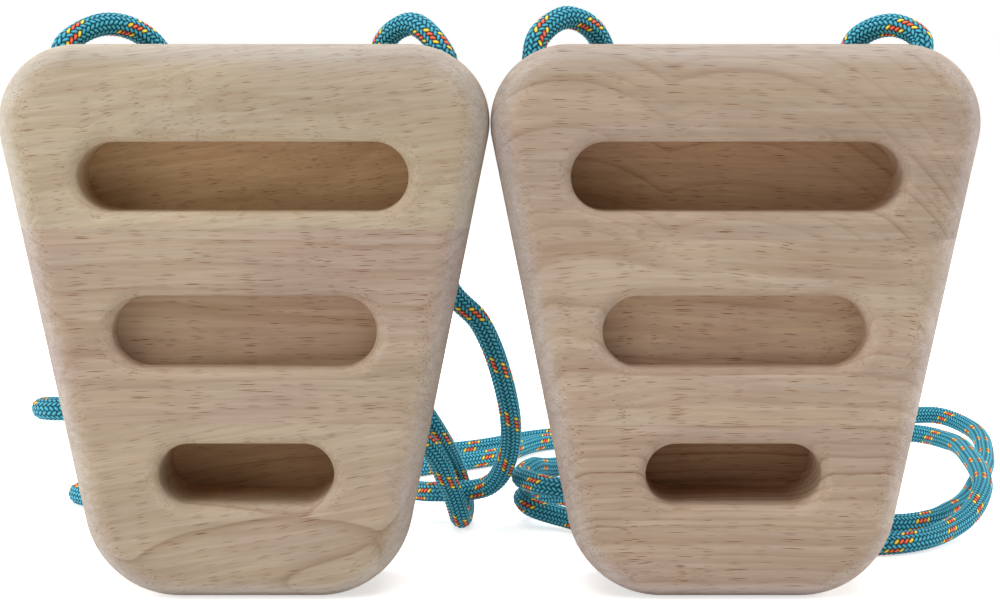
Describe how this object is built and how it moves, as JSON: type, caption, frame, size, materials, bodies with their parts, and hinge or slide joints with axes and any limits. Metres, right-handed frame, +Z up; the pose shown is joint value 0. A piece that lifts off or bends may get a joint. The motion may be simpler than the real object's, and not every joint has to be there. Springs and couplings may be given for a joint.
{
  "type": "portable hangboard pair",
  "caption": "Tapered wooden finger training blocks with stadium pockets of differing depth, each hanging from its own braided cord.",
  "frame": {"origin": "on the ground, midway between the two boards and midway through their thickness", "axes": "+X to the right seen from the pocket side, +Y from the pocket side to the back, +Z up"},
  "size_m": [0.4027, 0.3324, 0.1982],
  "materials": {
    "left_upper_wood": "fine sanded, bare",
    "left_middle_wood": "fine sanded, bare",
    "left_lower_wood": "fine sanded, bare",
    "right_upper_wood": "fine sanded, bare",
    "right_middle_wood": "fine sanded, bare",
    "right_lower_wood": "fine sanded, bare",
    "cord": "braided polyester, slight sheen"
  },
  "bodies": {
    "left_board": {"left_board_upper_strip": "left_upper_wood", "left_board_middle_strip": "left_middle_wood", "left_board_lower_strip": "left_lower_wood", "left_cord": "cord", "left_cord_outer_knot": "cord", "left_cord_inner_knot": "cord"},
    "right_board": {"right_board_upper_strip": "right_upper_wood", "right_board_middle_strip": "right_middle_wood", "right_board_lower_strip": "right_lower_wood", "right_cord": "cord", "right_cord_outer_knot": "cord", "right_cord_inner_knot": "cord"}
  },
  "joints": [
    {"name": "set_boards_apart", "type": "slide", "parent": "left_board", "child": "right_board", "axis": [1, 0, 0], "range_m": [0, 0.3]}
  ]
}
